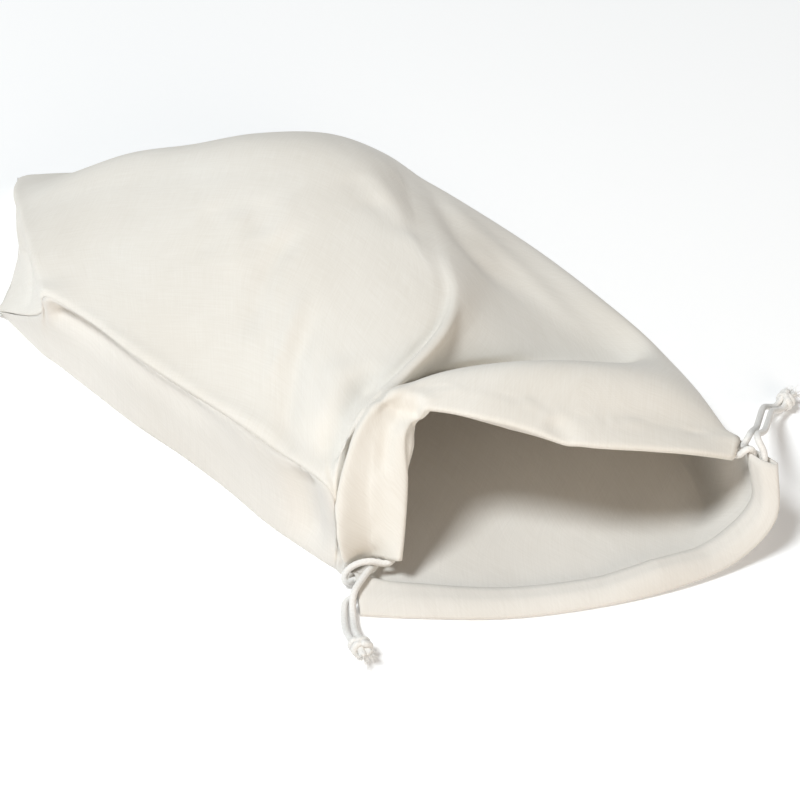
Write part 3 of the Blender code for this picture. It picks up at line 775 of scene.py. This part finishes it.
def knot_parts(knot, seed):
    """An overhand knot in two strands side by side, with their ends frayed out."""
    rng = np.random.default_rng(seed)
    face, heading, across = knot_frame(knot)
    up = np.array([0.0, 0.0, 1.0])
    place = np.linspace(0.0, 1.0, FIBRE_POINTS)[:, None]
    parts = []
    for side in (1.0, -1.0):
        line = []
        for distance, radius, turn, beside, level in KNOT_LINE:
            angle = math.radians(turn)
            round_it = radius * (math.cos(angle) * up + math.sin(angle) * across)
            line.append(face + heading * distance + round_it
                        + side * (across * beside + heading * level))
        line = smooth_line(line, [KNOT_CELLS] * (len(line) - 1))
        parts.append(braid(even(line, KNOT_STEP)))
        tip = line[-1]
        way = unit(line[-1] - line[-5])
        for _ in range(FIBRES):
            start = tip - way * rng.uniform(*FIBRE_ROOT) + rng.normal(0.0, FIBRE_BUNDLE, 3)
            spread = way + rng.normal(0.0, FIBRE_SPREAD, 3) + across * side * FIBRE_ASIDE
            reach = rng.uniform(*FIBRE_REACH)
            bend = rng.normal(0.0, FIBRE_BEND, 3)
            fibre = start + spread * reach * place + bend * place ** 2
            fibre[:, 2] = np.maximum(fibre[:, 2], FIBRE_LOWEST)
            parts.append(tube(fibre, FIBRE_RADIUS - FIBRE_TAPER * place, FIBRE_SIDES))
    return parts


# ---------------------------------------------------------------------------
# Materials
# ---------------------------------------------------------------------------
def set_sockets(node, values):
    for name, value in values.items():
        node.inputs[name].default_value = value


def new_material(name):
    material = bpy.data.materials.new(name)
    material.use_nodes = True
    return material, material.node_tree, material.node_tree.nodes["Principled BSDF"]


def math_node(tree, operation, *terms):
    """A Math node on sockets and plain numbers."""
    node = tree.nodes.new("ShaderNodeMath")
    node.operation = operation
    for socket, term in zip(node.inputs, terms):
        if isinstance(term, float):
            socket.default_value = term
        else:
            tree.links.new(term, socket)
    return node.outputs[0]


def noise_node(tree, vector, scale, detail, rough=0.5):
    node = tree.nodes.new("ShaderNodeTexNoise")
    set_sockets(node, {"Scale": scale, "Detail": detail, "Roughness": rough})
    tree.links.new(vector, node.inputs["Vector"])
    return node.outputs["Fac"]


def ramp_node(tree, value, stops, colours):
    """A colour ramp from the second colour to the first."""
    node = tree.nodes.new("ShaderNodeValToRGB")
    tree.links.new(value, node.inputs["Fac"])
    for element, stop, colour in zip(node.color_ramp.elements, stops, reversed(colours)):
        element.position = stop
        element.color = (*colour, 1.0)
    return node.outputs["Color"]


def bump_node(tree, height, strength, distance):
    node = tree.nodes.new("ShaderNodeBump")
    set_sockets(node, {"Strength": strength, "Distance": distance})
    tree.links.new(height, node.inputs["Height"])
    return node


def linen(name, colours):
    """Plain-woven linen and cotton: threads with slubs, in metres of cloth, and a soft sheen."""
    material, tree, shader = new_material(name)
    cloth = tree.nodes.new("ShaderNodeUVMap")
    cloth.uv_map = "cloth"
    place = tree.nodes.new("ShaderNodeSeparateXYZ")
    tree.links.new(cloth.outputs["UV"], place.inputs[0])

    def stretched(across_scale, along_scale, detail):
        mapping = tree.nodes.new("ShaderNodeMapping")
        set_sockets(mapping, {"Scale": (across_scale, along_scale, 1.0)})
        tree.links.new(cloth.outputs["UV"], mapping.inputs["Vector"])
        return noise_node(tree, mapping.outputs[0], 1.0, detail)

    # Each thread wanders a little to the side, and is thicker in places.
    sway = math_node(tree, "MULTIPLY", stretched(SWAY_SCALE, SWAY_SCALE, 2.0), SWAY)
    threads = []
    for way in place.outputs[:2]:
        swayed = math_node(tree, "ADD", way, sway)
        threads.append(math_node(tree, "SINE", math_node(tree, "MULTIPLY", swayed, WEAVE)))
    weave = math_node(tree, "MULTIPLY", *threads)
    slub = math_node(tree, "ADD", stretched(SLUB_ACROSS, SLUB_ALONG, 2.0),
                     stretched(SLUB_ALONG, SLUB_ACROSS, 2.0))
    height = math_node(tree, "ADD", math_node(tree, "MULTIPLY", weave, WEAVE_RELIEF),
                       math_node(tree, "MULTIPLY", slub, SLUB_RELIEF))
    bump = bump_node(tree, height, *THREAD_BUMP)
    # Slow soft dents between the modelled folds.
    dent = bump_node(tree, stretched(*DENT_SCALE, 3.0), *DENT_BUMP)
    tree.links.new(dent.outputs[0], bump.inputs["Normal"])
    tree.links.new(bump.outputs[0], shader.inputs["Normal"])
    clouds = math_node(tree, "MULTIPLY", stretched(*CLOUD_SCALE, 3.0), CLOUD_TONE)
    tone = math_node(tree, "ADD", math_node(tree, "MULTIPLY", slub, SLUB_TONE), clouds)
    tree.links.new(ramp_node(tree, tone, LINEN_STOPS, colours), shader.inputs["Base Color"])
    set_sockets(shader, {"Roughness": 0.88, "Specular IOR Level": 0.25,
                         "Sheen Weight": 0.18, "Sheen Roughness": 0.5})
    return material


def cotton(name, colours, scale):
    """Soft white cotton yarn with its fibres."""
    material, tree, shader = new_material(name)
    place = tree.nodes.new("ShaderNodeTexCoord").outputs["Object"]
    tone = noise_node(tree, place, scale, 3.0, 0.6)
    tree.links.new(ramp_node(tree, tone, COTTON_STOPS, colours), shader.inputs["Base Color"])
    bump = bump_node(tree, noise_node(tree, place, scale * COTTON_FINER, 2.0), *COTTON_BUMP)
    tree.links.new(bump.outputs[0], shader.inputs["Normal"])
    set_sockets(shader, {"Roughness": 0.85, "Specular IOR Level": 0.25, "Sheen Weight": 0.25})
    return material


# ---------------------------------------------------------------------------
# Objects
# ---------------------------------------------------------------------------
def add_object(name, data):
    thing = bpy.data.objects.new(name, data)
    bpy.context.scene.collection.objects.link(thing)
    return thing


def make_piece(name, points, faces, material):
    """A smooth piece from points in millimetres."""
    mesh = bpy.data.meshes.new(name)
    mesh.from_pydata([tuple(p) for p in np.asarray(points) * MM], [], faces)
    mesh.update()
    mesh.materials.append(material)
    mesh.shade_smooth()
    return add_object(name, mesh)


def make_cloth(name, grid, material):
    """A panel's mesh with its cloth coordinates in metres, thickened evenly to both sides."""
    rows, columns = grid.shape[:2]
    i, j = np.meshgrid(np.arange(rows - 1), np.arange(columns - 1), indexing="ij")
    corner = i * columns + j
    faces = np.stack([corner, corner + columns, corner + columns + 1, corner + 1], -1)
    piece = make_piece(name, grid.reshape(-1, 3), faces.reshape(-1, 4).tolist(), material)
    along = arc(grid) * MM
    across = arc(grid.transpose(1, 0, 2)).T * MM
    across = across - across[:, columns // 2, None]
    place = np.stack([across, along], axis=-1).reshape(-1, 2)
    mesh = piece.data
    layer = mesh.uv_layers.new(name="cloth")
    index = np.empty(len(mesh.loops), dtype=np.int32)
    mesh.loops.foreach_get("vertex_index", index)
    layer.data.foreach_set("uv", place[index].ravel())
    thick = piece.modifiers.new("cloth thickness", "SOLIDIFY")
    thick.thickness = CLOTH * MM
    thick.offset = 0.0
    return piece


def make_camera():
    """A camera turned to its target from the photo's azimuth and elevation."""
    camera = add_object("camera", bpy.data.cameras.new("camera"))
    camera.data.lens = LENS
    camera.data.sensor_width = SENSOR
    azimuth, elevation = math.radians(CAMERA_AZIMUTH), math.radians(CAMERA_ELEVATION)
    away = np.array((math.sin(azimuth) * math.cos(elevation),
                     -math.cos(azimuth) * math.cos(elevation), math.sin(elevation)))
    camera.location = tuple(CAMERA_TARGET + away * CAMERA_DISTANCE)
    camera.rotation_euler = (0.5 * math.pi - elevation, 0.0, azimuth)
    bpy.context.scene.camera = camera


def make_light(name, place, size, watts, colour):
    light = bpy.data.lights.new(name, "AREA")
    light.shape = "DISK"
    light.size = size
    light.energy = watts
    light.color = colour
    lamp = add_object(name, light)
    lamp.location = place
    lamp.rotation_euler = (-Vector(place)).to_track_quat("-Z", "Y").to_euler()


def make_studio():
    """A plain pale floor, soft lights and a faint even world."""
    scene = bpy.context.scene
    scene.view_settings.view_transform = "Standard"
    world = bpy.data.worlds.new("studio")
    world.use_nodes = True
    set_sockets(world.node_tree.nodes["Background"],
                {"Color": (1.0, 0.96, 0.91, 1.0), "Strength": 0.2})
    scene.world = world
    material, _, shader = new_material("floor")
    set_sockets(shader, {"Base Color": (0.95, 0.95, 0.95, 1.0), "Roughness": 0.9,
                         "Emission Color": (1.0, 1.0, 1.0, 1.0), "Emission Strength": 0.13})
    mesh = bpy.data.meshes.new("floor")
    corners = ((-1, -1), (1, -1), (1, 1), (-1, 1))
    mesh.from_pydata([(x * FLOOR_HALF, y * FLOOR_HALF, 0) for x, y in corners], [], [(0, 1, 2, 3)])
    mesh.materials.append(material)
    floor = add_object("floor", mesh)
    for light in LIGHTS:
        make_light(*light)


# ---------------------------------------------------------------------------
# Making
# ---------------------------------------------------------------------------
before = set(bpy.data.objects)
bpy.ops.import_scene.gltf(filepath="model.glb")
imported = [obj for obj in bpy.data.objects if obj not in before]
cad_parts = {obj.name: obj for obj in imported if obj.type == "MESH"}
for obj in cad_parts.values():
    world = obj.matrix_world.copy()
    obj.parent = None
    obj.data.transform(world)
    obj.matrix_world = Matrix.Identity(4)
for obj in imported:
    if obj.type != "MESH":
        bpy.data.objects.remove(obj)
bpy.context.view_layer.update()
make_camera()
make_studio()

front = panel_grid(front_rows(), 0.5 * CLOTH)
back = panel_grid(back_rows(), -0.5 * CLOTH)
back[:, :, 2] = np.maximum(back[:, :, 2], FLOOR)
front_normal = normals(front)
back_normal = -normals(back)
for line in FRONT_CREASES:
    crease(front, front_normal, *line)
for line in BACK_CREASES:
    crease(back, back_normal, *line)
back[:, :, 2] = np.maximum(back[:, :, 2], FLOOR)
front_body, front_hem = np.split(front, [hem_start(front_rows())])
back_body, back_hem = np.split(back, [hem_start(back_rows())])

front_channel = (front_hem, -1.0, FRONT_CROSSING)
back_channel = (back_hem, 1.0, BACK_CROSSING)
left_route = cord_route(LEFT_KNOT, LEFT_FRONT_STRAND,
                        channel_line(*front_channel, STITCH_SIDE, EDGE_SIDE, 0.0), RIGHT_BRIDGE,
                        channel_line(*back_channel, EDGE_SIDE, STITCH_SIDE, 1.0)[::-1],
                        LEFT_BACK_STRAND)
right_route = cord_route(RIGHT_KNOT, RIGHT_FRONT_STRAND,
                         channel_line(*front_channel, EDGE_SIDE, STITCH_SIDE, 1.0)[::-1],
                         LEFT_BRIDGE,
                         channel_line(*back_channel, STITCH_SIDE, EDGE_SIDE, 0.0),
                         RIGHT_BACK_STRAND)

cord_cotton = cotton("cord cotton", CORD_COTTON, CORD_GRAIN)
knot_cotton = cotton("knot cotton", KNOT_COTTON, KNOT_GRAIN)
for side, route, ease, knot, seed in (("left", left_route, LEFT_EASE, LEFT_KNOT, LEFT_SEED),
                                      ("right", right_route, RIGHT_EASE, RIGHT_KNOT, RIGHT_SEED)):
    reached = arc(route)
    free = np.minimum(1.0, np.minimum(reached, reached[-1] - reached) / EASE_START)
    route = softened(route, free, ease)
    cord = make_piece("cord_" + side, *braid(route), cord_cotton)
    end = make_piece("ends_" + side, *joined(knot_parts(knot, seed)), knot_cotton)
    for piece, cad, slot in ((cord, "drawstring_" + side, side + "_cord"),
                             (end, "knot_" + side, side + "_knot")):
        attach(piece, "root")
        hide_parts(cad)

front_body = np.concatenate([front_body, front_hem[:1]])
back_body = np.concatenate([back_body, back_hem[:1]])
seam_grooves(front_body, back_body)
front_panel = hem_layers(front_body, *front_channel, FRONT_LIPS)
back_panel = hem_layers(back_body, *back_channel, ())
back_panel[:, :, 2] = np.maximum(back_panel[:, :, 2], FLOOR)

# The back panel's colours carry painted shade, darker than the front's same linen.
for side, panel, colours in (("front", front_panel, FRONT_LINEN),
                             ("back", back_panel, BACK_LINEN_PAINTED_SHADE)):
    cloth = make_cloth(side + "_cloth", panel, linen(side + " linen", colours))
    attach(cloth, "root")
    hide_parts(side + "_panel")
